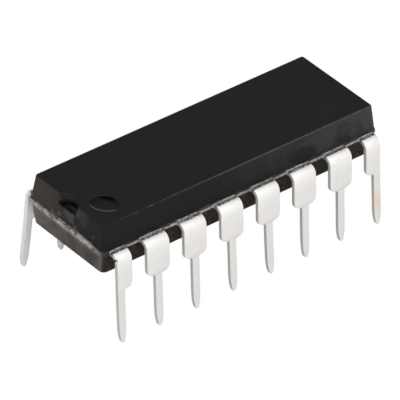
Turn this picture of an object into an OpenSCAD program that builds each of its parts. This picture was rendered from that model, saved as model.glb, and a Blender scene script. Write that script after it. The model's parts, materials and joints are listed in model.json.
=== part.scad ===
// Sixteen lead dual in-line integrated circuit in a moulded plastic package.
// Length runs along X with the notched end at -X, the row of leads 1 to 8 is on
// the -Y side and the tips of the leads stand on Z = 0. All sizes are in mm.

/* [Body] */
// Length of the moulded body at the parting plane
body_len = 18.95; // [18.6:0.05:19.6]
// Width of the moulded body at the parting plane
body_wid = 6.4; // [6.1:0.05:6.6]
// Height of the upper half of the body above the parting plane
body_up = 1.67; // [1.5:0.01:1.9]
// Height of the lower half of the body below the parting plane
body_down = 1.45; // [1.2:0.05:1.6]
// Draft angle of the two end faces in degrees
draft_end = 6.5; // [4:0.5:10]
// Draft angle of the two long side faces in degrees
draft_side = 9; // [6:0.5:12]
// Radius of the rounded edges round the top and the underside
edge_r = 0.08; // [0.05:0.01:0.25]
// Depth by which each upright corner is trimmed
corner_cut = 0.12; // [0.05:0.01:0.2]

/* [Notch and marks] */
// Radius of the half round notch at the top face, in the end beside lead 1
notch_r = 0.75; // [0.65:0.05:1]
// Radius of the notch at its floor
notch_low_r = 0.64; // [0.5:0.01:0.64]
// Depth of the notch below the top face
notch_deep = 0.5; // [0.3:0.05:0.9]
// Diameter of the round dimple that marks lead 1
dimple_d = 1.62; // [1:0.02:2]
// Depth of the dimple
dimple_deep = 0.17; // [0.05:0.01:0.3]
// Distance of the dimple from the middle of the body along its length
dimple_x = 8.02; // [7.4:0.01:8.1]
// Distance of the dimple from the middle of the body across its width
dimple_y = 1.4; // [1:0.05:1.7]
// Diameter of each ejector pin mark on the underside
ejector_d = 1.6; // [1:0.1:2.4]
// Depth of each ejector pin mark
ejector_deep = 0.06; // [0.03:0.01:0.2]
// Distance between the two ejector pin marks
ejector_span = 12; // [8:0.5:14]

/* [Flash] */
// How far the resin flash between the leads stands out from the sides
flash_side = 0.1; // [0.04:0.01:0.15]
// How far the resin flash stands out from the two ends
flash_end = 0.07; // [0.03:0.01:0.15]

/* [Leads] */
// Distance from lead to lead along a row
pitch = 2.54; // [2.54]
// Thickness of the lead frame
frame_t = 0.25; // [0.2:0.01:0.3]
// Width of the upper part of a lead
wide_w = 1.52; // [1.2:0.01:1.65]
// Width of the lower part of a lead
narrow_w = 0.46; // [0.36:0.01:0.56]
// Width of a lead at its tip
tip_w = 0.18; // [0.12:0.01:0.3]
// Length of the taper above the tip
taper_len = 0.9; // [0.3:0.05:1.2]
// How full the sides of the taper are, 1 for straight sides
taper_bow = 2; // [1:0.2:3]
// Height of the seating shoulders above the tips
shoulder_z = 3.3; // [2.9:0.05:3.5]
// Height of the underside of the body above the seating shoulders
standoff = 0.56; // [0.38:0.01:0.9]
// Radius of the lower corners of the wide part
shoulder_r = 0.3; // [0.1:0.05:0.35]
// Radius of the hollow between the wide part and the leg
neck_r = 0.12; // [0.04:0.02:0.16]
// Radius inside the bend of a lead
bend_r = 0.25; // [0.15:0.05:0.4]
// Angle by which the legs lean outwards in degrees
splay = 4; // [1:0.5:6]
// Distance over the outer faces of the two rows at the tips
tip_span = 8.59; // [8.3:0.01:8.9]
// Depth of the trimming nick in the outer edge of the end leads
nick_deep = 0.1; // [0.04:0.01:0.14]
// Height of the trimming nick
nick_h = 0.22; // [0.1:0.02:0.4]

/* [Lead frame inside] */
// Width of an inner finger
finger_w = 0.42; // [0.3:0.02:0.5]
// Length of the wide root of a lead held in the body
root_len = 0.6; // [0.4:0.05:0.8]
// How far the finger of lead 1 runs straight in from its root before it turns
straight_1 = 0.7; // [0.5:0.05:0.8]
// The same for lead 2
straight_2 = 0.3; // [0.2:0.05:0.4]
// The same for lead 3
straight_3 = 0.15; // [0.1:0.05:0.3]
// The same for lead 4
straight_4 = 0.4; // [0.2:0.05:0.5]
// Distance between the pad and the tips of the fingers beside it
finger_gap = 0.4; // [0.35:0.05:0.45]
// Distance between the finger of lead 1 and the tie bar beside it
tie_gap = 0.27; // [0.2:0.01:0.35]
// Distance between the tip of lead 1's finger and the end of the pad
reach_gap = 1.3; // [1.1:0.05:1.5]
// Length of the pad under the chip
pad_len = 3.8; // [3.2:0.1:4]
// Width of the pad under the chip
pad_wid = 2.5; // [2:0.1:2.7]
// Width of the two bars that tie the pad to the ends
tie_w = 0.6; // [0.4:0.05:0.7]
// Distance by which the pad is set down below the fingers
downset = 0.25; // [0.15:0.05:0.4]

/* [Chip and wires] */
// Length of the silicon chip
die_len = 1.8; // [1.4:0.1:2.4]
// Width of the silicon chip
die_wid = 1.4; // [1.2:0.1:1.7]
// Thickness of the silicon chip
die_t = 0.3; // [0.2:0.05:0.4]
// Thickness of the layer that bonds the chip to the pad
attach_t = 0.03; // [0.02:0.01:0.05]
// Margin of the bonding layer round the chip
attach_rim = 0.08; // [0.02:0.02:0.2]
// Diameter of a bond wire
wire_d = 0.03; // [0.025:0.005:0.04]
// Diameter of a bond at the end of a wire
bond_d = 0.1; // [0.08:0.01:0.14]
// Thickness of a bond
bond_t = 0.04; // [0.04:0.01:0.06]
// Distance of the bonds on the chip from its edge
bond_rim = 0.12; // [0.1:0.01:0.16]
// Distance between neighbouring bonds along the long edges of the chip
bond_step_x = 0.36; // [0.3:0.02:0.4]
// Distance between neighbouring bonds along the short edges of the chip
bond_step_y = 0.24; // [0.2:0.02:0.28]
// Distance of the bond on a finger from the end of the finger
bond_back = 0.14; // [0.1:0.01:0.2]
// Half of the angle of the arc of a wire in degrees
wire_arc = 35; // [25:5:45]

/* [Hidden] */
$fn = 48;

// heights of the parting plane, the faces of the body and the lead frame
body_bottom = shoulder_z + standoff;
part_z = body_bottom + body_down;
body_top = part_z + body_up;
frame_top = part_z + frame_t / 2;
frame_low = part_z - frame_t / 2;

// the bend of a lead: axis height, outer radius, its angle and its distance from the middle
bend_z = frame_low - bend_r;
bend_o = bend_r + frame_t;
bend_a = 90 - splay;
leg_top = bend_z + bend_o * cos(bend_a);
leg_run = (leg_top - frame_t * sin(splay)) / cos(splay);
bend_y = tip_span / 2 - leg_run * sin(splay) - bend_o * sin(bend_a);

// the pad, the bonding layer and the chip stand on one another
pad_top = frame_top - downset;
die_low = pad_top + attach_t;
die_top = die_low + die_t;

// half profile of the body: distance of a drafted face from the middle, rounded at both edges
function arc(cx, cz, r, a0, a1, n) =
  [for (i = [0 : n]) let (a = a0 + (a1 - a0) * i / n) [cx + r * cos(a), cz + r * sin(a)]];
function set_in(h, a) = h * tan(a);
function upper_arc(half, h, a) =
  let (k = edge_r * tan(45 - a / 2))
  arc(half - set_in(h, a) - k, part_z + h - edge_r, edge_r, a, 90, 4);
function lower_arc(half, h, a) =
  let (k = edge_r * tan(45 - a / 2))
  arc(half - set_in(h, a) - k, part_z - h + edge_r, edge_r, -90, -a, 4);
function mirror_pts(p) = [for (i = [len(p) - 1 : -1 : 0]) [-p[i][0], p[i][1]]];
function right_side(half, a) = concat(
  lower_arc(half, body_down, a), [[half, part_z]], upper_arc(half, body_up, a));
function section(half, a) = concat(right_side(half, a), mirror_pts(right_side(half, a)));

// the four upright corners are trimmed on the slant, and their draft follows the walls beside them
draft_corner = atan((tan(draft_end) + tan(draft_side)) / sqrt(2));
corner_half = (body_len + body_wid) / 2 / sqrt(2) - corner_cut;
module corner_prism(turn) {
  rotate([0, 0, turn])
    rotate([90, 0, 0])
      linear_extrude(height = body_len + body_wid, center = true)
        polygon(section(corner_half, draft_corner));
}

module body_block() {
  intersection() {
    corner_prism(45);
    corner_prism(-45);
    rotate([90, 0, 0])
      linear_extrude(height = body_wid + 2, center = true)
        polygon(section(body_len / 2, draft_end));
    rotate([90, 0, 90])
      linear_extrude(height = body_len + 2, center = true)
        polygon(section(body_wid / 2, draft_side));
  }
}

module flash() {
  translate([-body_len / 2 - flash_end, -body_wid / 2 - flash_side, frame_low])
    cube([body_len + 2 * flash_end, body_wid + 2 * flash_side, frame_t]);
}

module notch() {
  translate([-body_len / 2, 0, body_top - notch_deep])
    cylinder(r1 = notch_low_r, r2 = notch_r, h = notch_deep);
}

module dimple() {
  translate([-dimple_x, -dimple_y, body_top - dimple_deep])
    cylinder(d = dimple_d, h = dimple_deep + 1);
}

module ejector_marks() {
  for (s = [-1, 1])
    translate([s * ejector_span / 2, 0, body_bottom - 1])
      cylinder(d = ejector_d, h = ejector_deep + 1);
}

// the casting takes the shape of everything that the resin flowed round
module package_body() {
  color("#242322")
  difference() {
    union() {
      body_block();
      flash();
    }
    notch();
    dimple();
    ejector_marks();
    for (i = [1 : 16]) lead(i);
    die_pad();
    die_attach();
    silicon_die();
    for (i = [1 : 16]) bond_wire(i);
  }
}

// leads are numbered round the body, each one is a turn or a mirror image of the first four
function row_x(i) = i <= 8 ? (i - 4.5) * pitch : (12.5 - i) * pitch;
function side_y(i) = i <= 8 ? -1 : 1;
function shape(i) = let (k = i <= 8 ? i : 17 - i) k <= 4 ? k : 9 - k;
function side_x(i) = row_x(i) < 0 ? -1 : 1;
function lead_x(k) = (k - 4.5) * pitch;

// Centre lines of the inner fingers, from inside the wide root to the bonding tip. The end
// leads run along the tie bar, lead 2 comes in at a corner of the pad, and leads 3 and 4
// stop beside its long edge, a little way along it. Turning points between the root and the
// tip are shares of the way between named places.
inner_y = body_wid / 2 - root_len;
pad_y = pad_wid / 2;
pad_x = pad_len / 2;
sunk = root_len / 6;
along_3 = pad_x * 0.87;
along_4 = pad_x * 0.45;
set_back_3 = finger_gap * 1.4;
beside_tie = tie_w / 2 + tie_gap + finger_w / 2;
function root(k, straight) = [[lead_x(k), -inner_y - sunk], [lead_x(k), straight - inner_y]];
function path(k) =
  k == 1 ? concat(root(1, straight_1), [[lead_x(1) + pitch * 0.35, -(inner_y + beside_tie) * 0.3],
    [lead_x(1) + pitch * 0.75, -beside_tie], [-pad_x - reach_gap, -beside_tie]]) :
  k == 2 ? concat(root(2, straight_2), [[lead_x(2) + pitch * 0.65, -(inner_y + pad_y) * 0.47],
    [-pad_x - finger_gap, -pad_y]]) :
  k == 3 ? concat(root(3, straight_3), [[-along_3, -pad_y - set_back_3]]) :
           concat(root(4, straight_4), [[-along_4, -pad_y - finger_gap]]);
function tip_at(k) = let (p = path(k)) p[len(p) - 1];
function back_at(k) = let (p = path(k)) p[len(p) - 2];
function unit(v) = v / norm(v);
function left_of(v) = [-v[1], v[0]];
function mitre(p, i) =
  i == 0 ? left_of(unit(p[1] - p[0])) :
  i == len(p) - 1 ? left_of(unit(p[i] - p[i - 1])) :
  let (a = left_of(unit(p[i] - p[i - 1])), b = left_of(unit(p[i + 1] - p[i])), m = unit(a + b))
  m / (m * a);
function stroke(p, h) = concat(
  [for (i = [0 : len(p) - 1]) p[i] + mitre(p, i) * h],
  [for (i = [len(p) - 1 : -1 : 0]) p[i] - mitre(p, i) * h]);

// outer and inner half width of the wide part, the end leads are wide on one side only
function out_w(k) = k == 1 ? narrow_w / 2 : wide_w / 2;
function in_w(k) = wide_w / 2;

module finger(k) {
  translate([0, 0, frame_low])
    linear_extrude(height = frame_t)
      union() {
        polygon(stroke(path(k), finger_w / 2));
        translate([lead_x(k) - out_w(k), -bend_y])
          square([out_w(k) + in_w(k), bend_y - inner_y]);
      }
}

module bend(k) {
  translate([lead_x(k) - out_w(k), -bend_y, bend_z])
    rotate([0, 90, 0])
      rotate([0, 0, 180])
        rotate_extrude(angle = bend_a, $fn = 96)
          translate([bend_r, 0])
            square([frame_t, out_w(k) + in_w(k)]);
}

// outline of a leg seen from the front, measured down from the end of the bend
leg_shoulder = (leg_top - shoulder_z) / cos(splay);
leg_taper = leg_run - taper_len;
function corner(w, s) = [for (i = [0 : 5]) let (a = 90 * i / 5)
  [s * (w - shoulder_r + shoulder_r * cos(a)), -leg_shoulder + shoulder_r - shoulder_r * sin(a)]];
function reversed(p) = [for (i = [len(p) - 1 : -1 : 0]) p[i]];
function neck(s) = [for (i = [0 : 3]) let (a = 90 * i / 3)
  [s * (narrow_w / 2 + neck_r * (1 - sin(a))), -leg_shoulder - neck_r * (1 - cos(a))]];
function taper(s) = [for (i = [0 : 5]) let (t = i / 5)
  [s * (narrow_w + (tip_w - narrow_w) * pow(t, taper_bow)) / 2, -leg_taper - taper_len * t]];
function inner_edge() = concat([[in_w(2), 0]], corner(in_w(2), 1), neck(1), taper(1));
function outer_plain(k) = concat(reversed(taper(-1)),
  reversed(neck(-1)), reversed(corner(out_w(k), -1)), [[-out_w(k), 0]]);
function outer_end() = concat(reversed(taper(-1)),
  [[-narrow_w / 2, -nick_h * 1.5], [-narrow_w / 2 + nick_deep, -nick_h * 1.5],
  [-narrow_w / 2 + nick_deep, -nick_h * 0.5], [-narrow_w / 2, -nick_h * 0.5], [-narrow_w / 2, 0]]);

module leg(k) {
  translate([lead_x(k), -bend_y - bend_r * sin(bend_a), bend_z + bend_r * cos(bend_a)])
    rotate([90 - splay, 0, 0])
      linear_extrude(height = frame_t)
        polygon(concat(inner_edge(), k == 1 ? outer_end() : outer_plain(k)));
}

module lead_shape(k) {
  union() {
    finger(k);
    bend(k);
    leg(k);
  }
}

module place(i) {
  mirror([side_x(i) < 0 ? 0 : 1, 0, 0])
    mirror([0, side_y(i) < 0 ? 0 : 1, 0])
      children();
}

module lead(i) {
  color("#c9c6c0")
  place(i) lead_shape(shape(i));
}

// the pad and its two tie bars are one strip of the lead frame, set down in the middle
step_x = pad_x + tie_w / 4; // where the slope up to the tie bar begins
tie_end = body_len / 2 + flash_end;
tie_line = [[-tie_end, frame_top], [-step_x - downset, frame_top], [-step_x, pad_top],
  [step_x, pad_top], [step_x + downset, frame_top], [tie_end, frame_top],
  [tie_end, frame_low], [step_x + downset, frame_low], [step_x, pad_top - frame_t],
  [-step_x, pad_top - frame_t], [-step_x - downset, frame_low], [-tie_end, frame_low]];

module die_pad() {
  color("#c08a55")
  union() {
    rotate([90, 0, 0])
      linear_extrude(height = tie_w, center = true)
        polygon(tie_line);
    translate([-pad_x, -pad_y, pad_top - frame_t])
      cube([pad_len, pad_wid, frame_t]);
  }
}

module die_attach() {
  color("#b9b9b4")
  translate([-die_len / 2 - attach_rim, -die_wid / 2 - attach_rim, pad_top])
    cube([die_len + 2 * attach_rim, die_wid + 2 * attach_rim, attach_t]);
}

module silicon_die() {
  color("#5b6472")
  translate([-die_len / 2, -die_wid / 2, die_low])
    cube([die_len, die_wid, die_t]);
}

// each wire is a thin arc from a bond on the chip to a bond near the tip of its finger
function die_point(k) =
  k == 1 ? [-die_len / 2 + bond_rim, -bond_step_y / 2] :
  k == 2 ? [-die_len / 2 + bond_rim, -bond_step_y * 1.5] :
  k == 3 ? [-bond_step_x * 1.5, -die_wid / 2 + bond_rim] :
           [-bond_step_x / 2, -die_wid / 2 + bond_rim];
function bond_point(k) = tip_at(k) - unit(tip_at(k) - back_at(k)) * bond_back;

function rim(d, n) = [for (i = [0 : n - 1]) d / 2 * [cos(360 * i / n), sin(360 * i / n)]];

module wire_shape(k) {
  a = concat(die_point(k), [die_top + bond_t / 2]);
  b = concat(bond_point(k), [frame_top + bond_t / 2]);
  run = norm([b[0] - a[0], b[1] - a[1]]);
  chord = norm(b - a);
  r = chord / 2 / sin(wire_arc);
  union() {
    translate([a[0], a[1], die_top])
      linear_extrude(height = bond_t)
        polygon(rim(bond_d, 8));
    translate([b[0], b[1], frame_top])
      linear_extrude(height = bond_t)
        polygon(rim(bond_d, 8));
    translate(a)
      rotate([0, 0, atan2(b[1] - a[1], b[0] - a[0])])
        rotate([0, atan2(a[2] - b[2], run), 0])
          translate([chord / 2, 0, -r * cos(wire_arc)])
            rotate([90, 0, 0])
              rotate([0, 0, 90 - wire_arc])
                rotate_extrude(angle = 2 * wire_arc, $fn = 72)
                  translate([r, 0])
                    polygon(rim(wire_d, 6));
  }
}

module bond_wire(i) {
  color("#e0b23c")
  place(i) wire_shape(shape(i));
}

package_body();
lead(1);  // lead_01
lead(2);  // lead_02
lead(3);  // lead_03
lead(4);  // lead_04
lead(5);  // lead_05
lead(6);  // lead_06
lead(7);  // lead_07
lead(8);  // lead_08
lead(9);  // lead_09
lead(10);  // lead_10
lead(11);  // lead_11
lead(12);  // lead_12
lead(13);  // lead_13
lead(14);  // lead_14
lead(15);  // lead_15
lead(16);  // lead_16
die_pad();
die_attach();
silicon_die();
bond_wire(1);  // bond_wire_01
bond_wire(2);  // bond_wire_02
bond_wire(3);  // bond_wire_03
bond_wire(4);  // bond_wire_04
bond_wire(5);  // bond_wire_05
bond_wire(6);  // bond_wire_06
bond_wire(7);  // bond_wire_07
bond_wire(8);  // bond_wire_08
bond_wire(9);  // bond_wire_09
bond_wire(10);  // bond_wire_10
bond_wire(11);  // bond_wire_11
bond_wire(12);  // bond_wire_12
bond_wire(13);  // bond_wire_13
bond_wire(14);  // bond_wire_14
bond_wire(15);  // bond_wire_15
bond_wire(16);  // bond_wire_16
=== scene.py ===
# %% [markdown]
# # A sixteen lead integrated circuit in black moulded resin
# The construction model comes in first and stays where it is. It already has every solid
# of the chip at its real size: the resin body, sixteen leads, and the pad, silicon and gold
# wires inside. The rest of this lesson gives what shows its true edges, marks and finish.

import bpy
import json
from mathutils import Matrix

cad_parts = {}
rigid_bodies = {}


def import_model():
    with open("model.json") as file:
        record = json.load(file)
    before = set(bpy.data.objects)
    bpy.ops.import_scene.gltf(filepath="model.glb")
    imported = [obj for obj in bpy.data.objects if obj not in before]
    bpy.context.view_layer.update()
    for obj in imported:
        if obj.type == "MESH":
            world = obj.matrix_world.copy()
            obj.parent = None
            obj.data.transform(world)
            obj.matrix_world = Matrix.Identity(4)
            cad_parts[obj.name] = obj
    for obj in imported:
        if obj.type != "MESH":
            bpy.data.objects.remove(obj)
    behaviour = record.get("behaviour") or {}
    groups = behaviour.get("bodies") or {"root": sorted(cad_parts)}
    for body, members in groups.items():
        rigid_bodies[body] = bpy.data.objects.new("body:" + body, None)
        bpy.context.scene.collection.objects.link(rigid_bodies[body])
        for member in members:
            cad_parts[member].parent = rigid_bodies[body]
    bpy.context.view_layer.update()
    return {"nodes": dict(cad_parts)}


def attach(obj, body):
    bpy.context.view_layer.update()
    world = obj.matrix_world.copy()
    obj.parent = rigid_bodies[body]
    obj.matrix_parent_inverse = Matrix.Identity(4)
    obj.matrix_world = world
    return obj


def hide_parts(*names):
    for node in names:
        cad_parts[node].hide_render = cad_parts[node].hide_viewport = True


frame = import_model()

# %% Tools for the whole lesson
import json
import math
from functools import reduce
from types import SimpleNamespace

import bmesh
import bpy
from mathutils import Matrix, Vector, noise

MM = 0.001
scene = bpy.context.scene

# %% [markdown]
# ## Sizes that the pieces share
# The chip is drawn in millimetres, as its maker would, and turned into metres when a mesh is
# made. These are the construction model's own values, so each new piece lands on the solid
# that it stands for. A used part is a little softer and less even than its drawing. Where
# that shows, as in the worn shoulders of the leads, the cell that makes it says so.

# %% Sizes in millimetres
body_len, body_wid = 18.95, 6.4  # at the parting plane
body_low, part_z, body_top = 3.86, 5.31, 6.98  # heights above the tips of the leads
draft_end, draft_side = math.radians(6.5), math.radians(9.0)
edge_r = 0.08
notch_r, notch_low_r, notch_deep = 0.75, 0.64, 0.5
pitch, frame_t = 2.54, 0.25
wide, narrow, tip_width = 1.52, 0.46, 0.18
shoulder_z, neck_r, taper_len = 3.3, 0.12, 0.9
splay, tip_span = math.radians(4.0), 8.59
bend_r, root_len, finger_w = 0.25, 0.6, 0.42

# %% Where the legs bend
bend_z = part_z - frame_t / 2 - bend_r
turn = math.pi / 2 - splay
leg_top = bend_z + (bend_r + frame_t) * math.cos(turn)
leg_run = (leg_top - frame_t * math.sin(splay)) / math.cos(splay)
bend_y = tip_span / 2 - leg_run * math.sin(splay) - (bend_r + frame_t) * math.sin(turn)
print(f"leg {leg_run:.3f} mm long, bend axis {bend_y:.3f} mm from the middle at z {bend_z:.3f}")


# %% [markdown]
# ## Helpers that turn point rings into a mesh
# Both the body and the leads are lofts: a row of rings with the same number of points, with
# faces between one ring and the next and a flat cap at each end. A loft keeps its edge loops
# in order, so a fillet stays an even band of narrow faces and shades cleanly.

# %% Loft and object helpers
def loft(name, rings):
    """Joins closed rings of points in mm into one solid mesh in metres."""
    mesh = bpy.data.meshes.new(name)
    build = bmesh.new()
    rows = [[build.verts.new(Vector(p) * MM) for p in ring] for ring in rings]
    count = len(rings[0])
    for low, high in zip(rows, rows[1:]):
        for i in range(count):
            j = (i + 1) % count
            build.faces.new((low[i], low[j], high[j], high[i]))
    build.faces.new(list(reversed(rows[0])))
    build.faces.new(rows[-1])
    bmesh.ops.recalc_face_normals(build, faces=build.faces)
    build.to_mesh(mesh)
    build.free()
    return mesh


def show(name, mesh):
    """Puts a mesh into the scene as an object of that name."""
    made = bpy.data.objects.new(name, mesh)
    scene.collection.objects.link(made)
    return made


# %% Shading, angle and noise helpers
def shade(made, angle):
    """Smooth shading that breaks at real corners, with flat faces kept flat."""
    made.data.shade_smooth()
    made.data.set_sharp_from_angle(angle=math.radians(angle))
    flat = made.modifiers.new("flat_faces_stay_flat", "WEIGHTED_NORMAL")
    flat.keep_sharp = True


def bake_modifiers(made):
    """Replaces an object's mesh by what its modifiers make of it."""
    ready = bpy.context.evaluated_depsgraph_get()
    mesh = bpy.data.meshes.new_from_object(made.evaluated_get(ready))
    made.modifiers.clear()
    made.data = mesh


def quarter(steps):
    """Angles from 0 to 90 degrees in equal steps, for a fillet."""
    return [math.pi / 2 * i / steps for i in range(steps + 1)]


def ripple(x, y, z, scale):
    """A smooth random value from about -1 to 1 that is the same on every run."""
    return noise.noise(Vector((x, y, z)) * scale)


# %% [markdown]
# ## The moulded body
# The resin is pressed into two mould halves that meet at the lead frame. Each half has
# drafted walls, so the body is widest at the parting plane, and a little resin always creeps
# out there as flash. A stack of rounded rectangles gives all of this: every ring is one
# height, its size follows the draft, and the rings at the parting plane step outwards by an
# uneven amount, as torn flash does. On the two ends the flash is thicker than the drawing
# has it and wavers up and down. The floor of the notch falls a little towards the end face.

# %% The notched end seen from above
lip_r, foot_r, rim_r = 0.20, 0.06, 0.07  # the lips are rounder than they are drawn
straight_points, lip_points, wall_points = 15, 5, 25


def notch_end(x_end, y_far, radius, limit):
    """Points along the end from +y_far to -y_far, dipping into the notch by up to limit.

    The notch is round about an axis near the end face, and an arc of radius lip_r turns from
    the end face into its wall."""
    off = x_end + body_len / 2 + lip_r
    y_lip = math.sqrt((radius + lip_r) ** 2 - off ** 2)
    swing = math.atan2(y_lip, off)
    half = []
    for i in range(straight_points):
        half.append((0.0, y_far + (y_lip - y_far) * (i + 1) / straight_points))
    for i in range(1, lip_points + 1):
        b = swing * i / lip_points
        half.append((lip_r - lip_r * math.cos(b), y_lip - lip_r * math.sin(b)))
    for i in range(1, wall_points // 2 + 1):
        t = swing * (1 - i / (wall_points // 2))
        half.append((radius * math.cos(t) - body_len / 2 - x_end, radius * math.sin(t)))
    whole = half + [(reach, -y) for reach, y in reversed(half[:-1])]
    return [(x_end + min(reach, limit), y) for reach, y in whole]


# %% Outline of the body at one height
side_points, end_points, corner_points = 150, 56, 9
body_corners = [(1, -1, -90), (1, 1, 0), (-1, 1, 90), (-1, -1, 180)]
notched_side = 2  # the straight that follows the third corner


def outline(half_x, half_y, radius, notch_at, notch_limit):
    """Rounded rectangle as (x, y, outward x, outward y), always the same number of points."""
    points = []
    for index, (sx, sy, start) in enumerate(body_corners):
        cx, cy = sx * (half_x - radius), sy * (half_y - radius)
        for i in range(corner_points):
            a = math.radians(start + 90 * i / (corner_points - 1))
            points.append((cx + radius * math.cos(a), cy + radius * math.sin(a),
                           math.cos(a), math.sin(a)))
        if index == notched_side:
            points += [(x, y, -1.0, 0.0) for x, y in
                       notch_end(-half_x, half_y - radius, notch_at, notch_limit)[:-1]]
            continue
        nsx, nsy, nstart = body_corners[(index + 1) % 4]
        a, b = math.radians(start + 90), math.radians(nstart)
        here = (cx + radius * math.cos(a), cy + radius * math.sin(a))
        there = (nsx * (half_x - radius) + radius * math.cos(b),
                 nsy * (half_y - radius) + radius * math.sin(b))
        steps = end_points if index % 2 == 0 else side_points
        for i in range(1, steps):
            t = i / steps
            points.append((here[0] + (there[0] - here[0]) * t,
                           here[1] + (there[1] - here[1]) * t, math.cos(a), math.sin(a)))
    return points


# %% The notch's radius and the waver of the flash at a height
notch_floor = body_top - notch_deep
front_drop = 0.15  # fall of the notch's floor to the end face
flash_half, flash_thicker = 0.12, 0.35


def notch_radius(z):
    """Radius of the notch's drafted wall at a height, opened out at the rim."""
    share = min(max((z - notch_floor) / notch_deep, 0.0), 1.0)
    climb = max(z - (body_top - rim_r), 0.0)
    flare = rim_r - math.sqrt(max(rim_r ** 2 - climb ** 2, 0.0))
    return notch_low_r + (notch_r - notch_low_r) * share + flare


def end_waver(x, y, z):
    """How far the flash of an end is lifted or lowered: long waves and fine tears."""
    thicker = flash_thicker + 0.45 * ripple(0.0, y, 7.0, 0.8)
    tears = 0.04 * ripple(x, y, 0.0, 3.1) + 0.03 * ripple(x, y, 4.0, 9.0)
    return thicker * (z - part_z) + tears


# %% One ring of the wall
corner_low, corner_high, corner_least = 0.34, 0.15, 0.05  # the drawing trims them flat
flash_mean, flash_on_ends = 0.62, 0.8  # shares of the stated reach of the flash


def wall_ring(z, inset=0.0, stand_out=0.0, rough=0.0, notch_at=None, notch_limit=9.0):
    """One ring of the drafted wall, set in by a fillet or pushed out by flash."""
    if z <= notch_floor - front_drop - edge_r:
        notch_limit = 0.0
    if notch_at is None:
        notch_at = notch_radius(z) if z > notch_floor else notch_low_r - foot_r
    rise = abs(z - part_z)
    half_x = body_len / 2 - rise * math.tan(draft_end) - inset
    half_y = body_wid / 2 - rise * math.tan(draft_side) - inset
    climb = min(max((z - part_z) / (body_top - part_z), 0.0), 1.0)
    corner_r = corner_low + (corner_high - corner_low) * climb ** 0.5
    ring = []
    for x, y, nx, ny in outline(half_x, half_y, max(corner_r - inset, corner_least),
                                notch_at, notch_limit):
        out, lift = 0.0, 0.0
        if stand_out:
            uneven = ripple(x, y, z, 2.3) * 0.6 + ripple(x, y, z, 7.0) * 0.4
            out = stand_out * (flash_mean + rough * uneven)
            if abs(nx) > 0.7:
                out *= flash_on_ends
                lift = end_waver(x, y, z)
        ring.append((x + nx * out, y + ny * out, z + lift))
    return ring


def fillet(z_face, towards, steps=6):
    """Rings that turn from a wall into a flat face."""
    return [wall_ring(z_face - towards * edge_r * (1 - math.sin(a)), edge_r * (1 - math.cos(a)))
            for a in quarter(steps)]


# %% Stack the rings from the underside to the top
lower_walls = (body_low + 0.45, body_low + 0.9, part_z - 0.18, part_z - flash_half - 0.03)
flash_rings = ((-flash_half, 0.07, 0.35), (-0.05, 0.12, 0.5), (0.02, 0.13, 0.5),
               (0.08, 0.11, 0.5), (flash_half, 0.06, 0.35))  # height, reach, roughness
upper_walls = (part_z + flash_half + 0.02, part_z + 0.24, part_z + 0.6)
floor_rings = ((0.8, 0.18), (0.4, 0.29), (0.1, 0.38), (0.0, 0.46))  # share of fall, distance in

rings = list(reversed(fillet(body_low, -1)))
rings += [wall_ring(z) for z in lower_walls]
rings += [wall_ring(part_z + up, stand_out=out, rough=rough) for up, out, rough in flash_rings]
rings += [wall_ring(z) for z in upper_walls]
# the end face turns over into the floor of the notch, which runs in to the foot of its wall
rings += [wall_ring(notch_floor - front_drop - edge_r * (1 - math.sin(a)),
                    notch_limit=edge_r * (1 - math.cos(a))) for a in quarter(5)]
rings += [wall_ring(notch_floor - share * front_drop, notch_limit=limit)
          for share, limit in floor_rings]
rings += [wall_ring(notch_floor + foot_r * (1 - math.cos(a)),
                    notch_at=notch_low_r - foot_r * (1 - math.sin(a))) for a in quarter(4)]
rings += [wall_ring(notch_floor + 0.12), wall_ring(notch_floor + 0.2)]
rings += fillet(body_top, 1)
print("body:", len(rings), "rings of", len(rings[0]), "points")

# %% Loft the body and weld the points that fall together
same_place = 2e-7
body = show("resin_body", loft("resin_body", rings))
weld = bmesh.new()
weld.from_mesh(body.data)
bmesh.ops.remove_doubles(weld, verts=weld.verts, dist=same_place)
bmesh.ops.dissolve_degenerate(weld, edges=weld.edges, dist=same_place)
weld.to_mesh(body.data)
weld.free()
print("body before the marks:", len(body.data.polygons), "faces")

# %% [markdown]
# ## Lead 1 dimple and ejector marks
# Pins in the mould leave these. Each is cut with a turned solid whose profile flares out at
# the rim, so that the cut edge comes out softly rounded, as a moulded edge is, and catches a
# thin line of light.

# %% Turned cutting tools
def turned(name, profile, centre, points=96):
    """Revolves (radius, height) pairs in mm about a vertical axis through centre."""
    rings = [[(centre[0] + r * math.cos(2 * math.pi * i / points),
               centre[1] + r * math.sin(2 * math.pi * i / points),
               centre[2] + h) for i in range(points)] for r, h in profile]
    return show(name, loft(name, rings))


def pocket(radius, depth, low_radius, rim, foot):
    """Profile of a blind round pocket that opens upwards: foot fillet, wall, flared rim."""
    profile = [(low_radius - foot + foot * math.sin(a), -depth + foot * (1 - math.cos(a)))
               for a in quarter(4)]
    for i in range(5):
        a = math.pi / 2 * i / 4.4  # the flare ends a little short of level
        profile.append((radius + rim * (1 - math.cos(a)), -rim + rim * math.sin(a)))
    profile.append((radius + rim * 1.6, 0.05))
    return profile


def cut(solid, tool):
    """Takes the tool out of the solid and removes the tool."""
    take = solid.modifiers.new("cut", "BOOLEAN")
    take.operation, take.solver, take.object = "DIFFERENCE", "EXACT", tool
    bake_modifiers(solid)
    bpy.data.objects.remove(tool)


# %% Cut the marks into the body
dimple_at, mark_x = (-8.02, -1.38), 6.0
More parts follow.
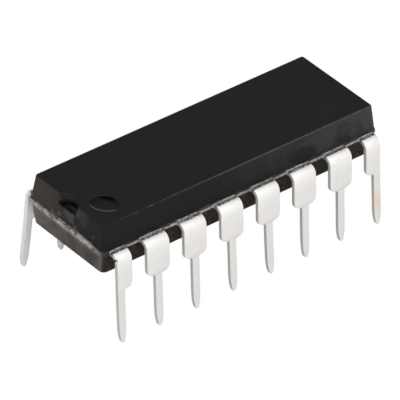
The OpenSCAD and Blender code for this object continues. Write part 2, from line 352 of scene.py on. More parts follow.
# radius, depth, radius at the foot, fillet of the rim, fillet of the foot
dimple_profile = pocket(0.78, 0.17, 0.77, 0.03, 0.03)
mark_profile = [(r, -h) for r, h in pocket(0.78, 0.07, 0.76, 0.03, 0.02)]
cut(body, turned("dimple_tool", dimple_profile, (*dimple_at, body_top)))
for side in (-1, 1):
    cut(body, turned("ejector_tool", mark_profile, (side * mark_x, 0, body_low)))
shade(body, 38)
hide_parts("package_body")
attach(body, "root")
print("body mesh:", len(body.data.polygons), "faces")

# %% [markdown]
# ## The leads
# Every lead is stamped from one strip with its inner finger, then bent down at the body. It
# is lofted the same way: a small rounded rectangle travels from the bonding tip through the
# body, round the bend and down the leg, and changes its width at the root, at the seating
# shoulder and at the point. One moving section keeps the strip's thickness true all the way.
# There are four kinds, from the corner of the chip inwards, and the rest mirror them.

# %% Routes of the inner fingers
# each route ends with points at stated shares of the way in, as the construction model has them
inner_y = body_wid / 2 - root_len
pad_x, pad_y, tie_w = 1.9, 1.25, 0.6
finger_gap, tie_gap, reach_gap = 0.4, 0.27, 1.3
straight = {1: 0.7, 2: 0.3, 3: 0.15, 4: 0.4}
beside_tie = tie_w / 2 + tie_gap + finger_w / 2
lead_x = {kind: (kind - 4.5) * pitch for kind in straight}
finger_ends = {
    1: [(lead_x[1] + pitch * 0.35, -(inner_y + beside_tie) * 0.3),
        (lead_x[1] + pitch * 0.75, -beside_tie), (-pad_x - reach_gap, -beside_tie)],
    2: [(lead_x[2] + pitch * 0.65, -(inner_y + pad_y) * 0.47), (-pad_x - finger_gap, -pad_y)],
    3: [(-pad_x * 0.87, -pad_y - finger_gap * 1.4)],
    4: [(-pad_x * 0.45, -pad_y - finger_gap)],
}
finger_paths = {kind: [(lead_x[kind], -inner_y - root_len / 6),
                       (lead_x[kind], straight[kind] - inner_y)] + finger_ends[kind]
                for kind in straight}


def finger_stations(kind):
    """Stations as (middle, across, up, half width out, half width in, way down the leg)."""
    path = [Vector((x, y, part_z)) for x, y in reversed(finger_paths[kind])]
    up = Vector((0, 0, 1))
    made = []
    for i, point in enumerate(path):
        before = (point - path[i - 1]).normalized() if i else None
        after = (path[i + 1] - point).normalized() if i + 1 < len(path) else None
        first, last = before or after, after or before
        a, b = up.cross(first), up.cross(last)
        middle = (a + b).normalized()
        made.append((point, middle / middle.dot(a), up, finger_w / 2, finger_w / 2, 0.0))
    return made


# %% Widths down the leg
shoulder_worn, neck_below = 0.37, 0.008  # the drawing rounds the shoulders by 0.3
plate_rows = (0.10, 0.25, 0.38, 0.44, 0.47, 0.50, 0.53, 0.56, 0.62, 0.8, 1.0, 1.2)
slim_rows = (2.0, 2.6, 3.2, 3.7)
tip_rows, tip_rounds_at = (0.2, 0.4, 0.6, 0.8, 0.92, 0.97, 1.0), 0.92


def half_out(kind):
    """Half width on the side away from the middle of the chip: corner leads are cut slim."""
    return narrow / 2 if kind == 1 else wide / 2


def leg_profile(kind):
    """(distance below the bend, half width out, half width in) down to the point."""
    out, inn, slim = half_out(kind), wide / 2, narrow / 2
    shoulder = (leg_top - shoulder_z) / math.cos(splay)
    taper = leg_run - taper_len
    rows = [(u, out, inn) for u in plate_rows]
    for a in quarter(7):
        w = inn - shoulder_worn * (1 - math.cos(a))
        rows.append((shoulder - shoulder_worn * (1 - math.sin(a)), out if kind == 1 else w, w))
    for a in quarter(5):
        w = slim + neck_r * (1 - math.sin(a))
        rows.append((shoulder + neck_below + neck_r * (1 - math.cos(a)),
                     slim if kind == 1 else w, w))
    rows += [(u, slim, slim) for u in (*slim_rows, taper)]
    for t in tip_rows:
        w = (narrow + (tip_width - narrow) * t ** 2) / 2 * (1 - max(t - tip_rounds_at, 0) * 4)
        rows.append((taper + taper_len * t, w, w))
    return rows


# %% All stations of a lead
bend_steps, nicked_steps, nick_deep = 12, range(7, 11), 0.1


def lead_stations(kind):
    """The whole lead in its place in the near row, left half."""
    x, across = lead_x[kind], Vector((1, 0, 0))
    out, inn = half_out(kind), wide / 2
    made = finger_stations(kind)
    for y in (inner_y + 0.001, inner_y + 0.03, body_wid / 2, bend_y - 0.02):
        made.append((Vector((x, -y, part_z)), across, Vector((0, 0, 1)), out, inn, 0.0))
    mid_r = bend_r + frame_t / 2
    for i in range(bend_steps + 1):
        a = turn * i / bend_steps
        up = Vector((0, -math.sin(a), math.cos(a)))
        nick = nick_deep if kind == 1 and i in nicked_steps else 0.0
        middle = Vector((x, -bend_y, bend_z)) + up * mid_r
        made.append((middle, across, up, out - nick, inn, 0.0))
    down = Vector((0, -math.sin(splay), -math.cos(splay)))
    up = Vector((0, -math.cos(splay), math.sin(splay)))
    end = made[-1][0]
    return made + [(end + down * u, across, up, a, b, u) for u, a, b in leg_profile(kind)]


print("stations of a lead:", {kind: len(lead_stations(kind)) for kind in straight})

# %% [markdown]
# ## Small differences from lead to lead
# Leads bend a little in handling, so no two tips line up exactly, and they stand a little
# wider than the drawing has them. Each leg gets a slight lean of its own, a few hundredths of
# a millimetre. The near row's are read from how it stands, and the far row's are made up. The
# forming tool leaves a faint crease across the wide part, which is pressed into the outer face
# here, so that it shows as a real line and not as paint. The shearing tool left a small nick
# on the bend of the corner leads.

# %% Section of a lead
edge_soft = 0.035
crease_at, crease_deep, crease_wide = 0.50, 0.022, 0.035
tip_flare = 0.08
tip_lean = {1: 0.02, 2: 0.01, 3: 0.0, 4: 0.04, 5: 0.09, 6: 0.01, 7: -0.03, 8: 0.04,
            9: 0.03, 10: -0.02, 11: 0.01, 12: -0.03, 13: 0.02, 14: 0.0, 15: -0.01, 16: -0.03}
strip_corners = [(1, 1, 0), (-1, 1, 90), (-1, -1, 180), (1, -1, 270)]


def section_ring(station, lean, crease):
    """A rounded rectangle across the strip at one station."""
    middle, across, up, out, inn, _ = station
    half_t = frame_t / 2
    soft = min(edge_soft, (out + inn) / 3)
    ring = []
    for sw, sn, start in strip_corners:
        reach = inn if sw > 0 else out
        for i in range(4):
            a = math.radians(start + 30 * i)
            w = sw * (reach - soft) + soft * math.cos(a)
            n = sn * (half_t - soft) + soft * math.sin(a)
            if sn > 0:
                n -= crease
            ring.append(middle + across * (w + lean) + up * n)
    return ring


# %% Build the sixteen leads
def make_lead(number):
    """Lofts one lead and mirrors it into its place."""
    nearer = number if number <= 8 else 17 - number
    kind = nearer if nearer <= 4 else 9 - nearer
    flip_x = -1 if nearer > 4 else 1
    flip_y = -1 if number > 8 else 1
    rings = []
    for station in lead_stations(kind):
        u = station[-1]
        bow = (u / leg_run) ** 2
        crease = crease_deep * math.exp(-((u - crease_at) / crease_wide) ** 2) if kind > 1 else 0
        ring = section_ring(station, tip_lean[number] * bow * flip_x, crease)
        rings.append([(p.x * flip_x, (p.y - tip_flare * bow) * flip_y, p.z) for p in ring])
    made = show(f"plated_lead_{number:02d}", loft(f"plated_lead_{number:02d}", rings))
    shade(made, 40)
    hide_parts(f"lead_{number:02d}")
    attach(made, "root")
    return made


leads = [make_lead(number) for number in range(1, 17)]
print("leads:", len(leads), "with", sum(len(o.data.polygons) for o in leads), "faces")


# %% [markdown]
# ## A finish that grows node by node
# A finish is built from a few layers of noise, each at the size that the real surface shows.
# Written out with Blender's own calls, a graph of a hundred nodes is hard to read. So this
# class holds the material, and each of its methods adds one node and hands back its output.

# %% The material and its basic nodes
class Sheet:
    """A node material with its surface shader and the position on the object in metres."""

    def __init__(self, name):
        self.material = bpy.data.materials.new(name)
        self.material.use_nodes = True
        self.nodes, self.links = self.material.node_tree.nodes, self.material.node_tree.links
        self.nodes.clear()
        self.target = self.nodes.new("ShaderNodeOutputMaterial")
        self.shader = self.nodes.new("ShaderNodeBsdfPrincipled")
        self.links.new(self.shader.outputs["BSDF"], self.target.inputs["Surface"])
        self.where = self.nodes.new("ShaderNodeTexCoord").outputs["Object"]

    def give(self, socket, value):
        """Links an output to a socket, or writes a number or a colour on it."""
        if isinstance(value, bpy.types.NodeSocket):
            self.links.new(value, socket)
        else:
            socket.default_value = (*value, 1.0) if isinstance(value, tuple) else value

    def set_input(self, name, value):
        """Gives an input of the surface shader its value."""
        self.give(self.shader.inputs[name], value)

    def facing(self):
        """The direction that the surface faces."""
        return self.nodes.new("ShaderNodeNewGeometry").outputs["Normal"]

    def split(self, vector):
        """The x, y and z of a position or direction."""
        made = self.nodes.new("ShaderNodeSeparateXYZ")
        self.links.new(vector, made.inputs["Vector"])
        return made.outputs["X"], made.outputs["Y"], made.outputs["Z"]

    def grain(self, scale, detail=4.0, rough=0.55, stretch=(1, 1, 1)):
        """Noise of a given size; stretch draws it out along an axis."""
        spread = self.nodes.new("ShaderNodeMapping")
        spread.inputs["Scale"].default_value = stretch
        self.links.new(self.where, spread.inputs["Vector"])
        made = self.nodes.new("ShaderNodeTexNoise")
        for key, number in (("Scale", scale), ("Detail", detail), ("Roughness", rough)):
            made.inputs[key].default_value = number
        self.links.new(spread.outputs["Vector"], made.inputs["Vector"])
        return made.outputs["Fac"]


# %% Arithmetic, colours and bumps
class Finish(Sheet):
    """Adds the steps that make a finish out of position and noise."""

    def step(self, kind, a, b):
        """One arithmetic step on two values, either of which may be a plain number."""
        made = self.nodes.new("ShaderNodeMath")
        made.operation = kind
        self.give(made.inputs[0], a)
        self.give(made.inputs[1], b)
        return made.outputs["Value"]

    def times(self, *values):
        return reduce(lambda a, b: self.step("MULTIPLY", a, b), values)

    def plus(self, a, b):
        return self.step("ADD", a, b)

    def minus(self, a, b):
        return self.step("SUBTRACT", a, b)

    def larger(self, a, b):
        return self.step("MAXIMUM", a, b)

    def size_of(self, a):
        return self.step("ABSOLUTE", a, 0.0)

    def ramp(self, value, low, high, to_low=0.0, to_high=1.0, smooth=False):
        """Maps a value from one range to another and holds it at the ends."""
        made = self.nodes.new("ShaderNodeMapRange")
        made.interpolation_type = "SMOOTHSTEP" if smooth else "LINEAR"
        self.links.new(value, made.inputs["Value"])
        for key, number in zip(("From Min", "From Max", "To Min", "To Max"),
                               (low, high, to_low, to_high)):
            made.inputs[key].default_value = number
        return made.outputs["Result"]

    def ramp_mm(self, value, low, high, to_low=0.0, to_high=1.0, smooth=False):
        """The same for a place or a distance, with its range in millimetres."""
        return self.ramp(value, low * MM, high * MM, to_low, to_high, smooth)

    def over(self, share, first, second):
        """Mixes two colours by a share from 0 to 1."""
        made = self.nodes.new("ShaderNodeMix")
        made.data_type = "RGBA"
        self.links.new(share, made.inputs["Factor"])
        self.give(made.inputs["A"], first)
        self.give(made.inputs["B"], second)
        return made.outputs["Result"]

    def distance(self, centre, weight=(1, 1, 1)):
        """Distance in metres from a point given in mm, with a weight for each axis."""
        scaled = self.nodes.new("ShaderNodeVectorMath")
        scaled.operation = "MULTIPLY"
        self.links.new(self.where, scaled.inputs[0])
        scaled.inputs[1].default_value = weight
        made = self.nodes.new("ShaderNodeVectorMath")
        made.operation = "DISTANCE"
        self.links.new(scaled.outputs["Vector"], made.inputs[0])
        made.inputs[1].default_value = [v * w * MM for v, w in zip(centre, weight)]
        return made.outputs["Value"]

    def bump(self, height, distance_mm, strength=1.0):
        """Raises the shading by a height, without moving the mesh."""
        made = self.nodes.new("ShaderNodeBump")
        made.inputs["Distance"].default_value = distance_mm * MM
        made.inputs["Strength"].default_value = strength
        self.links.new(height, made.inputs["Height"])
        self.set_input("Normal", made.outputs["Normal"])


# %% [markdown]
# ## Moulding resin
# The resin is epoxy filled with fine silica and carbon black. The top of the mould is
# polished, so the top face is smooth and even, and the walls keep the coarser spark-eroded
# skin of the mould. The finish starts from the black of the top and lays one colour after
# another over it, each where a share from 0 to 1 says so. A share comes from the place on
# the body and the way the surface faces, and noise breaks its edge. First come the shares
# that several layers need.

# %% Where each kind of surface is
in_plan = (1, 1, 0)
end_skin = (9.20, 9.28)  # distance along the body where the flat of an end face begins


def resin_places(f):
    """Noises, places and shares that the layers of the resin have in common."""
    s = SimpleNamespace()
    s.x, s.y, s.z = f.split(f.where)
    s.nx, s.ny, s.nz = f.split(f.facing())
    s.fine = f.grain(9000, 6.0, 0.65)
    s.grit = f.grain(5200, 3.0, 0.6)
    s.coarse = f.grain(1700, 5.0, 0.6)
    s.patch = f.grain(620, 4.0, 0.55)
    s.cloud = f.grain(260, 3.0, 0.5)
    s.wall = f.ramp(f.size_of(s.nz), 0.35, 0.75, 1.0, 0.0)
    s.end = f.times(f.ramp(f.size_of(s.nx), 0.55, 0.85), f.ramp_mm(f.size_of(s.x), *end_skin))
    s.under = f.ramp_mm(s.z, part_z + 0.02, part_z - 0.1)
    s.top_edge = f.ramp_mm(s.z, body_top - edge_r, body_top - edge_r * 0.6)
    s.from_notch = f.distance((-body_len / 2, 0, 0), in_plan)
    s.within_notch = f.ramp_mm(s.from_notch, notch_r + 0.02, notch_r + 0.06, 1.0, 0.0)
    s.in_dimple = f.times(f.ramp_mm(s.z, body_top - 0.03, body_top - 0.06),
                          f.ramp_mm(f.distance((*dimple_at, 0), in_plan), 0.83, 0.85, 1.0, 0.0))
    return s


# %% Polished top and duller walls
top_black, top_grey = (0.0040, 0.0040, 0.0040), (0.0052, 0.0052, 0.0051)
wall_sheen_grey = (0.042, 0.040, 0.039)
stain_at, stain_shape = (4.2, -3.07, 5.92), (0.42, 1, 1)


def top_and_walls(f, s):
    """Painted sheen: walls paler towards the far end of the row and higher up; one dark stain."""
    tone = f.over(f.ramp(s.cloud, 0.35, 0.65), top_black, top_grey)
    height = f.plus(s.z, f.times(f.minus(s.patch, 0.5), 1.2 * MM))
    # painted reflection: the long walls lighten towards the far end of the row and upwards
    pale = f.times(f.ramp_mm(s.x, -2.0, 9.5, 0.0, 0.85), f.ramp(s.patch, 0.36, 0.5, 0.45, 1.0),
                   f.ramp_mm(height, part_z + 0.14, part_z + 0.55, 0.25, 1.0))
    stain = f.ramp_mm(f.distance(stain_at, stain_shape), 0.30, 0.56, 0.10, 1.0, smooth=True)
    return f.over(f.times(s.wall, f.times(pale, stain)), tone, wall_sheen_grey)


# %% The two end faces
brown_end = (0.072, 0.054, 0.047)
lower_dark, lower_light = (0.034, 0.028, 0.026), (0.092, 0.083, 0.075)
lower_middle, lower_lit = (0.036, 0.029, 0.027), (0.150, 0.138, 0.128)


def end_faces(f, s, tone):
    """Brownish and paler away from the near corner, patchy below the lead frame."""
    farther = f.ramp_mm(s.y, -1.8, 2.8, 0.0, 0.52, smooth=True)
    brown = f.times(s.end, farther, f.ramp(s.coarse, 0.3, 0.7, 0.7, 1.0))
    tone = f.over(brown, tone, brown_end)
    patchy = f.over(f.ramp(s.patch, 0.40, 0.60), lower_dark, lower_light)
    middle = f.ramp_mm(f.size_of(s.y), 0.4, 1.6, 0.45, 0.0, smooth=True)
    patchy = f.over(middle, patchy, lower_middle)
    lit = f.larger(f.ramp_mm(s.z, part_z - 0.60, part_z - 0.20, 0.0, 0.55, smooth=True),
                   f.ramp_mm(s.y, -2.6, -2.9, 0.0, 0.60, smooth=True))
    lit = f.times(lit, f.ramp(s.coarse, 0.35, 0.60, 0.5, 1.0))
    patchy = f.over(lit, patchy, lower_lit)
    return f.over(f.times(s.end, s.under), tone, patchy)


# %% Long walls and corners below the lead frame
gap_shade_dark, gap_shade_brown = (0.002, 0.001, 0.001), (0.044, 0.033, 0.024)
lower_corner = (0.012, 0.012, 0.009)


def below_the_leads(f, s, tone):
    """Painted shade, brown and granular, between the leads; plain dark round the upright corners.
    """
    salt = f.plus(f.times(s.grit, 0.35), f.times(s.fine, 0.65))
    # painted shade on the lower walls between the leads, broken by a brown grain
    granular = f.over(f.ramp(salt, 0.42, 0.60), gap_shade_dark, gap_shade_brown)
    tone = f.over(f.times(f.minus(1.0, s.end), s.under, s.wall), tone, granular)
    turn_x, turn_y = f.size_of(s.nx), f.size_of(s.ny)
    rounded = f.times(f.ramp(turn_x, 0.95, 0.80), f.ramp(turn_y, 0.25, 0.45),
                      f.ramp(turn_x, 0.20, 0.45))
    rounded = f.times(rounded, s.under, f.ramp(s.grit, 0.35, 0.65, 1.0, 0.6))
    return f.over(rounded, tone, lower_corner)


# %% [markdown]
# ## Pale spots and painted highlights on the resin
# The notched end has pale spots beside the notch and above the flash. A crescent in the
# dimple and a broken line of light along the top edge are painted highlights. Each is a small
# spot or band at a stated place, softened and broken by noise.

# %% Pale spots on the notched end
pale_spot_x, pale_spot_grey = -9.38, (0.085, 0.085, 0.083)
end_spots = [(-0.82, 6.62, 0.36, 0.70), (-1.25, 6.50, 0.60, 0.20), (0.05, 6.12, 0.34, 0.42),
          (-0.38, 6.10, 0.34, 0.42), (-0.08, 5.87, 0.12, 0.60), (-0.28, 5.84, 0.12, 0.75),
          (-0.48, 5.81, 0.12, 0.60), (1.18, 5.64, 0.18, 0.85), (0.66, 5.78, 0.19, 0.90),
          (-0.71, 5.64, 0.20, 0.75), (-0.95, 5.62, 0.13, 0.50), (-2.20, 5.90, 0.14, 0.60),
          (0.74, 6.86, 0.09, 0.70)]  # y, z, radius, strength


def pale_end_spots(f, s, tone):
    """One soft pale spot for each row of the list."""
    spots = [f.ramp_mm(f.distance((pale_spot_x, y, z)), size * 0.35, size, strength, 0.0, smooth=True)
             for y, z, size, strength in end_spots]
    mark = f.times(reduce(f.larger, spots), s.end, f.ramp(s.coarse, 0.35, 0.6, 0.3, 1.0))
    return f.over(mark, tone, pale_spot_grey)


# %% Painted highlights in the dimple and on the top edge
crescent_glint_at, crescent_glint_grey = (-7.50, -0.94), (0.064, 0.064, 0.063)
edge_highlight_grey = (0.058, 0.058, 0.057)


def painted_glints(f, s, tone):
    """Painted highlights: a thin ring seen only in the dimple, and a dashed line on the top edge.
    """
    ring = f.distance((*crescent_glint_at, 0), in_plan)
    ring = f.times(f.ramp_mm(ring, 0.98, 1.02), f.ramp_mm(ring, 1.08, 1.12, 1.0, 0.0))
    # painted highlight: a thin arc inside the dimple
    tone = f.over(f.times(ring, s.in_dimple), tone, crescent_glint_grey)
    broken = f.over(f.ramp_mm(s.x, -6.0, -1.0), f.ramp(s.coarse, 0.50, 0.56, 0.0, 0.60),
                    f.ramp(s.fine, 0.42, 0.56, 0.3, 0.8))
    # painted highlight: a dashed line of light along the near top edge
    edge = f.times(s.top_edge, f.ramp(s.nz, 0.97, 0.90), f.ramp_mm(s.x, -7.9, -7.0))
    edge = f.times(edge, broken, f.ramp_mm(s.y, -2.6, -2.8))
    return f.over(edge, tone, edge_highlight_grey)


# %% [markdown]
# ## The dark places and the flash
# Little light reaches the rear foot of the notch and of the dimple, so painted shade makes both
# dark there. Painted light lifts the dimple's shaded wall, and the notch wall gets an even tone
# near that of the top. At the parting plane the flash is thin and lean in pigment, so it looks
# grey and torn, and its palest flecks are a painted highlight. It thins out towards the four
# corners, and at two of them it has nearly broken away.

# %% Feet of the notch and of the dimple
deep_black = (0.0010, 0.0010, 0.0010)
dimple_wall_lit, notch_wall_tone = (0.0200, 0.0200, 0.0200), (0.0085, 0.0085, 0.0085)


def rearward(f, s, centre):
    """How far a point lies behind centre, towards the far right of the chip."""
    return f.plus(f.times(f.minus(s.x, centre[0] * MM), 0.85),
                  f.times(f.minus(s.y, centre[1] * MM), 0.53))


def dark_feet(f, s):
    """The share of the dark places, which also lose their gloss."""
    low = f.times(f.ramp_mm(s.z, notch_floor + 0.05, notch_floor + 0.12, 1.0, 0.0),
                  f.ramp_mm(s.z, notch_floor - front_drop - 0.05, notch_floor - front_drop))
    foot = f.times(low, f.ramp_mm(s.from_notch, notch_low_r - 0.21, notch_low_r - 0.16),
                   f.ramp_mm(rearward(f, s, (-body_len / 2, 0)), 0.22, 0.34), s.within_notch)
    front = f.times(low, f.ramp_mm(s.from_notch, 0.38, 0.32), f.ramp(s.nz, 0.3, 0.6), 0.75)
    pit = f.times(s.in_dimple, f.ramp_mm(rearward(f, s, dimple_at), 0.56, 0.72, 0.0, 0.95))
    return f.larger(f.larger(foot, front), pit)


def dimple_and_notch(f, s, tone, dark):
    """Painted light on the dimple wall, an even notch wall tone, and the dark feet between them.
    """
    # painted light: the shaded dimple wall is lifted towards the tone of the top
    smooth = f.times(s.in_dimple, f.ramp(s.nz, 0.9, 0.6), f.ramp_mm(s.y, -1.10, -1.30))
    tone = f.over(smooth, tone, dimple_wall_lit)
    tone = f.over(dark, tone, deep_black)
    notch = f.times(s.within_notch, f.ramp_mm(s.z, notch_floor + 0.16, notch_floor + 0.22))
    return f.over(f.times(notch, s.wall), tone, notch_wall_tone)


# %% Flash at the parting plane
flash_grey, flash_glint_pale = (0.085, 0.079, 0.076), (0.35, 0.335, 0.325)
flash_thin, flash_thick, flash_ragged = 0.13 * MM, 0.20 * MM, 0.15 * MM
broken_corners = ((-9.33, -3.2), (9.33, 3.2))


def flash_band(f, s, tone):
    """A band about the parting plane with a ragged edge, thicker in the middle of the ends."""
    off = f.size_of(f.minus(s.z, part_z * MM))
    ragged = f.plus(off, f.times(f.minus(s.coarse, 0.5), flash_ragged))
    thick = f.times(s.end, f.ramp_mm(f.size_of(s.y), 1.4, 3.1, 1.0, 0.1))
    reach = f.ramp(thick, 0.0, 1.0, flash_thin, flash_thick)
    band = f.ramp_mm(f.minus(ragged, reach), -0.04, 0.04, 1.0, 0.0, smooth=True)
    band = f.times(band, s.wall)
    for place in broken_corners:
        gone = f.distance((*place, part_z))
        band = f.times(band, f.ramp_mm(gone, 0.20, 0.34, 0.25, 1.0),
                       f.ramp_mm(gone, 0.34, 1.10, 0.40, 1.0))
    # partly painted highlight: the pale flecks stand for light caught on the flash's ledge
    torn = f.over(f.ramp(f.plus(s.grit, f.times(s.patch, 0.8)), 0.72, 1.0),
                  flash_grey, flash_glint_pale)
    return f.over(band, tone, torn)


# %% Roughness, bump and gloss of the resin
def resin_surface(f, s, dark):
    """Satin top, rougher walls, and less gloss where the resin is dark or turned over."""
    f.set_input("Roughness", f.plus(f.ramp(s.cloud, 0.3, 0.7, 0.44, 0.52), f.times(s.wall, 0.16)))
    height = f.plus(f.times(s.fine, f.ramp(s.wall, 0.0, 1.0, 0.15, 1.0)),
                    f.times(s.coarse, f.ramp(s.wall, 0.0, 1.0, 0.05, 1.6)))
    f.bump(height, 0.02, strength=0.7)
    rim = f.times(f.ramp_mm(s.from_notch, notch_r - 0.06, notch_r),
                  f.ramp_mm(s.from_notch, notch_r + 0.1, notch_r + 0.14, 1.0, 0.0))
    rim = f.times(rim, f.ramp(s.nz, 0.985, 0.95), f.ramp_mm(s.z, body_top - 0.12, body_top - 0.09))
    near_edge = f.times(s.top_edge, f.ramp(s.nz, 0.99, 0.95), f.ramp_mm(s.x, -8.0, -8.7),
                        f.ramp_mm(s.y, -2.5, -2.7))
    gloss = f.times(f.ramp(s.wall, 0.0, 1.0, 0.27, 0.19), f.ramp(dark, 0.0, 1.0, 1.0, 0.22),
                    f.ramp(rim, 0.0, 1.0, 1.0, 0.78), f.ramp(near_edge, 0.0, 1.0, 1.0, 0.80))
    f.set_input("Specular IOR Level", gloss)


# %% Put the resin together
resin = Finish("black_filled_resin")
places = resin_places(resin)
dark = dark_feet(resin, places)
tone = top_and_walls(resin, places)
for layer in (end_faces, below_the_leads, pale_end_spots, painted_glints):
    tone = layer(resin, places, tone)
tone = dimple_and_notch(resin, places, tone, dark)
resin.set_input("Base Color", flash_band(resin, places, tone))
resin_surface(resin, places, dark)
body.data.materials.clear()
body.data.materials.append(resin.material)
print("resin:", len(resin.nodes), "nodes")


# %% [markdown]
# ## Tin plating
# The leads are dipped or plated with tin, which dries to a pale satin with soft cloudy
# patches, fine draw marks along the leg and a few duller spots. The sheared sides are
# duller and darker, the darkness painted shade that is strongest in the near row, and painted
# shade darkens the lower parts of the near row. At the body a bead of thin resin lies on the
# lead, with a painted shadow line in front of it. One lead keeps a trace of bare copper near
# its foot, where the plating was rubbed.

# %% Clouds and sheared sides
tin_grey, tin_white = (0.81, 0.797, 0.775), (0.89, 0.878, 0.864)
tin_yellow, tin_rose = (0.80, 0.79, 0.74), (0.84, 0.79, 0.785)
tin_low_shade, tin_sheared_shade = (0.675, 0.66, 0.64), (0.49, 0.475, 0.46)
row_side = (-1.0, 1.0)  # y from the near row to the far row, where a share changes over


def cloudy_tin(f, s):
    """Soft patches and tints, and painted shade on the lower part of the near row."""
    tone = f.over(f.ramp(s.cloud, 0.32, 0.68), tin_grey, tin_white)
    tinted = f.over(f.ramp(s.tint, 0.38, 0.62), tin_yellow, tin_rose)
    tone = f.over(f.ramp(s.tint, 0.5, 0.75, 0.35, 0.7), tone, tinted)
    # painted shade: the near row's leads darken lower down
    lower = f.plus(f.ramp_mm(s.z, 5.0, 4.3, 0.0, 0.5), f.ramp_mm(s.z, 3.5, 3.1, 0.0, 0.25))
    lower = f.times(lower, f.ramp_mm(s.y, *row_side, 1.0, 0.1),
                    f.ramp(s.cloud, 0.35, 0.65, 0.85, 1.12))
    return f.over(lower, tone, tin_low_shade)


def dull_and_shaded_share(f, s):
    """Where the tin is dull: sheared sides, also painted dark as shade, and a few draw marks."""
    # painted shade: sheared sides darkened most in the near row; the same share roughens them
    sheared = f.times(f.ramp(f.size_of(s.nx), 0.68, 0.95), f.ramp_mm(s.y, *row_side, 1.0, 0.25))
    return f.larger(f.ramp(s.drawn, 0.60, 0.74, 0.0, 0.25), sheared)


# %% Bead of resin, painted shadow line and bare copper
shadow_line_dark, shadow_line_light = (0.07, 0.067, 0.064), (0.34, 0.33, 0.32)
bead_dark, bead_light = (0.24, 0.23, 0.225), (0.78, 0.76, 0.75)
bare_copper, copper_at = (0.80, 0.48, 0.30), (8.93, -4.26, 1.55)


def bead_and_shadow_line(f, s, tone):
    """Bead and painted shadow line follow the distance from the middle of the chip, ragged-edged.
    """
    out = f.plus(f.size_of(s.y), f.times(f.minus(s.grit, 0.5), 0.18 * MM))
    mottled = f.ramp(s.grit, 0.42, 0.58)
    # painted shadow: a dark line where the bead's step shades the lead
    line = f.over(mottled, shadow_line_dark, shadow_line_light)
    tone = f.over(f.ramp_mm(out, 3.49, 3.56, 1.0, 0.0), tone, line)
    bead = f.over(mottled, bead_dark, bead_light)
    return f.over(f.ramp_mm(out, 3.30, 3.33, 1.0, 0.0), tone, bead)


def copper_trace(f, s, tone):
    """A rubbed spot near the foot of lead 8."""
    worn = f.ramp_mm(f.distance(copper_at), 0.2, 0.9, 0.42, 0.0, smooth=True)
    return f.over(f.times(worn, f.ramp(s.cloud, 0.35, 0.6, 0.35, 1.0)), tone, bare_copper)


# %% Put the tin together
tin = Finish("satin_tin_plating")
places = SimpleNamespace(cloud=tin.grain(900, 4.0, 0.55), tint=tin.grain(420, 2.0, 0.5),
                         drawn=tin.grain(5200, 4.0, 0.6, (1.0, 1.0, 0.12)),
                         speck=tin.grain(14000, 3.0, 0.6), grit=tin.grain(6500, 3.0, 0.6))
_, places.y, places.z = tin.split(tin.where)
places.nx, _, _ = tin.split(tin.facing())
dull = dull_and_shaded_share(tin, places)
# sheared sides and draw marks take the darker tone, which on the sides is painted shade
tone = tin.over(dull, cloudy_tin(tin, places), tin_sheared_shade)
tone = bead_and_shadow_line(tin, places, tone)
tin.set_input("Base Color", copper_trace(tin, places, tone))
tin.set_input("Metallic", 0.4)
rough = tin.plus(tin.ramp(places.cloud, 0.3, 0.7, 0.40, 0.50), tin.times(dull, 0.3))
tin.set_input("Roughness", rough)
tin.bump(tin.plus(tin.times(places.drawn, 0.8), tin.times(places.speck, 0.35)), 0.012,
         strength=0.6)
for lead in leads:
    lead.data.materials.clear()
    lead.data.materials.append(tin.material)
print("tin:", len(tin.nodes), "nodes on", len(leads), "leads")


# %% [markdown]
# ## What the resin hides
# Pad, bonding layer, silicon and wires sit inside the body, and only the sheared ends of the
# pad's tie bars reach the surface, in the flash of the two end faces. They stay as the
# construction model made them, each with its own finish, so that a cut-away shows real
# copper, silver paste, polished silicon and gold.

# %% Finishes of the inner pieces
def plain_finish(name, light, dark, metallic, rough, scale, stretch=(1, 1, 1), relief=0.004):
    """A metal or paste with one layer of noise for its colour, roughness and relief in mm."""
    made = Finish(name)
    marks = made.grain(scale, 5.0, 0.6, stretch)
    made.set_input("Base Color", made.over(made.ramp(marks, 0.3, 0.7), dark, light))
    made.set_input("Roughness", made.ramp(marks, 0.3, 0.7, rough, rough + 0.16))
    made.bump(marks, relief)
    made.set_input("Metallic", metallic)
    return made


def smear_tie_bar_ends(made):
    """Resin and tin smear over the sheared ends, so they look grey from outside."""
    metal = made.shader.inputs["Base Color"].links[0].from_socket
    x, _, _ = made.split(made.where)
    out = made.ramp_mm(made.size_of(x), 9.0, 9.2)
    smear = made.ramp(made.grain(3000, 4.0, 0.6), 0.35, 0.65)
    grey = made.over(smear, (0.16, 0.15, 0.14), (0.42, 0.40, 0.38))
    made.set_input("Base Color", made.over(out, metal, grey))
    made.set_input("Metallic", made.minus(1.0, made.times(out, 0.7)))


# %% Dress the inner pieces
copper = plain_finish("rolled_copper", (0.80, 0.50, 0.33), (0.66, 0.38, 0.24), 1.0, 0.3, 3500,
                      (0.1, 1, 1))
smear_tie_bar_ends(copper)
paste = plain_finish("silver_paste", (0.62, 0.61, 0.58), (0.44, 0.43, 0.41), 0.3, 0.55, 12000)
silicon = plain_finish("polished_silicon", (0.17, 0.18, 0.24), (0.09, 0.10, 0.15), 0.5, 0.12,
                       5000, relief=0.001)
gold = plain_finish("drawn_gold", (1.0, 0.78, 0.34), (0.86, 0.62, 0.22), 1.0, 0.18, 20000)
inner = {"die_pad": copper, "die_attach": paste, "silicon_die": silicon}
for name, node in frame["nodes"].items():
    made = gold if name.startswith("bond_wire") else inner.get(name)
    if made:
        node.data.materials.clear()
        node.data.materials.append(made.material)
print("inner pieces:", sorted(inner), "and 16 wires")

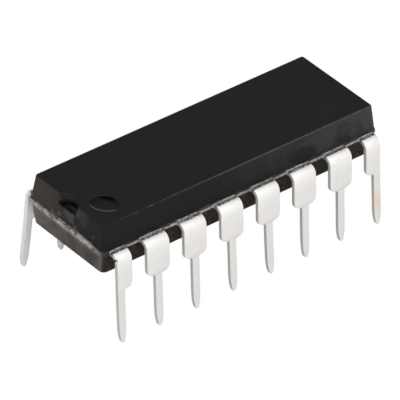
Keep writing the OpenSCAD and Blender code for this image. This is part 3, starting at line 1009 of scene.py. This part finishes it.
# %% [markdown]
# ## Floor, light and camera
# The picture is a plain catalogue shot on white ground, through a long lens from the front
# left, well above the chip. The sky is dimmer behind the chip, because the top face mirrors
# that part of it, and three broad suns light it: one from above, one from the right and a
# low one from the front left that brings out the end face. The floor is matt paper to the
# light, but plain white to the camera, so the ground is white and the chip isn't lit more
# for it. The camera stands 330 mm away, turned 40.7 degrees to the left of the long side and
# 35.9 degrees up, and is rolled by 2.3 degrees.

# %% Floor
half_floor = 1.5
floor_mesh = bpy.data.meshes.new("floor")
floor_mesh.from_pydata([(-half_floor, -half_floor, 0), (half_floor, -half_floor, 0),
                        (half_floor, half_floor, 0), (-half_floor, half_floor, 0)],
                       [], [(0, 1, 2, 3)])
floor = show("floor", floor_mesh)
paper = Finish("white_ground")
paper_grey, paper_white = (0.86, 0.86, 0.86), (0.88, 0.88, 0.88)
paper.set_input("Base Color", paper.over(paper.grain(40, 2.0), paper_grey, paper_white))
paper.set_input("Roughness", 0.9)
paper.set_input("Specular IOR Level", 0.0)
white = paper.nodes.new("ShaderNodeEmission")
seen = paper.nodes.new("ShaderNodeLightPath")
both = paper.nodes.new("ShaderNodeMixShader")
paper.links.new(seen.outputs["Is Camera Ray"], both.inputs["Fac"])
paper.links.new(paper.shader.outputs["BSDF"], both.inputs[1])
paper.links.new(white.outputs["Emission"], both.inputs[2])
paper.links.new(both.outputs["Shader"], paper.target.inputs["Surface"])
floor.data.materials.append(paper.material)
print("floor:", 2 * half_floor, "m wide")

# %% Sky
world = bpy.data.worlds.new("studio")
scene.world = world
world.use_nodes = True
sky, wires = world.node_tree.nodes, world.node_tree.links
sky.clear()
ground = sky.new("ShaderNodeOutputWorld")
glow = sky.new("ShaderNodeBackground")
wires.new(glow.outputs["Background"], ground.inputs["Surface"])
aim = sky.new("ShaderNodeTexCoord")
rear = sky.new("ShaderNodeVectorMath")
rear.operation = "DOT_PRODUCT"
rear.inputs[1].default_value = (0.58, 0.62, 0.53)  # up and behind the chip
wires.new(aim.outputs["Generated"], rear.inputs[0])
dimmer = sky.new("ShaderNodeMapRange")
wires.new(rear.outputs["Value"], dimmer.inputs["Value"])
for key, number in (("From Min", -0.2), ("From Max", 0.9), ("To Min", 1.0), ("To Max", 0.28)):
    dimmer.inputs[key].default_value = number
wires.new(dimmer.outputs["Result"], glow.inputs["Strength"])
glow.inputs["Color"].default_value = (1, 1, 1, 1)


# %% Suns
def sun(name, strength, width, azimuth, elevation):
    """A broad soft light from a direction; width, azimuth and elevation are in degrees."""
    lamp = bpy.data.lights.new(name, "SUN")
    lamp.energy, lamp.angle = strength, math.radians(width)
    made = bpy.data.objects.new(name, lamp)
    scene.collection.objects.link(made)
    a, e = math.radians(azimuth), math.radians(elevation)
    away = Vector((math.sin(a) * math.cos(e), -math.cos(a) * math.cos(e), math.sin(e)))
    made.rotation_mode = "QUATERNION"
    made.rotation_quaternion = away.to_track_quat("Z", "Y")


sun("key", 0.65, 60, -10, 60)
sun("fill", 0.4, 70, 60, 60)
sun("low", 0.75, 60, -45, 12)
scene.view_settings.view_transform = "Standard"
print("suns:", sorted(lamp.name for lamp in bpy.data.lights))

# %% Camera
azimuth, elevation, roll = math.radians(-40.693), math.radians(35.896), math.radians(2.335)
distance, focal_pixels, picture = 0.32986, 6116.8, 400
middle_x, middle_y = 203.134, 191.80
target = Vector((0, 0, 3.5 * MM))
back = Vector((math.sin(azimuth) * math.cos(elevation), -math.cos(azimuth) * math.cos(elevation),
               math.sin(elevation)))
right = Vector((math.cos(azimuth), math.sin(azimuth), 0))
up = back.cross(right)
tilted_right = right * math.cos(roll) + up * math.sin(roll)
tilted_up = up * math.cos(roll) - right * math.sin(roll)
lens = bpy.data.cameras.new("long_lens")
lens.sensor_width = 36
lens.lens = focal_pixels / picture * lens.sensor_width
lens.shift_x = (picture / 2 - middle_x) / picture
lens.shift_y = (middle_y - picture / 2) / picture
lens.clip_start, lens.clip_end = 0.01, 10
camera = bpy.data.objects.new("camera", lens)
scene.collection.objects.link(camera)
camera.matrix_world = Matrix((
    (tilted_right.x, tilted_up.x, back.x, target.x + back.x * distance),
    (tilted_right.y, tilted_up.y, back.y, target.y + back.y * distance),
    (tilted_right.z, tilted_up.z, back.z, target.z + back.z * distance),
    (0, 0, 0, 1)))
scene.camera = camera
print("lens", round(lens.lens, 1), "mm at", distance, "m")

# %% Update the scene
bpy.context.view_layer.update()
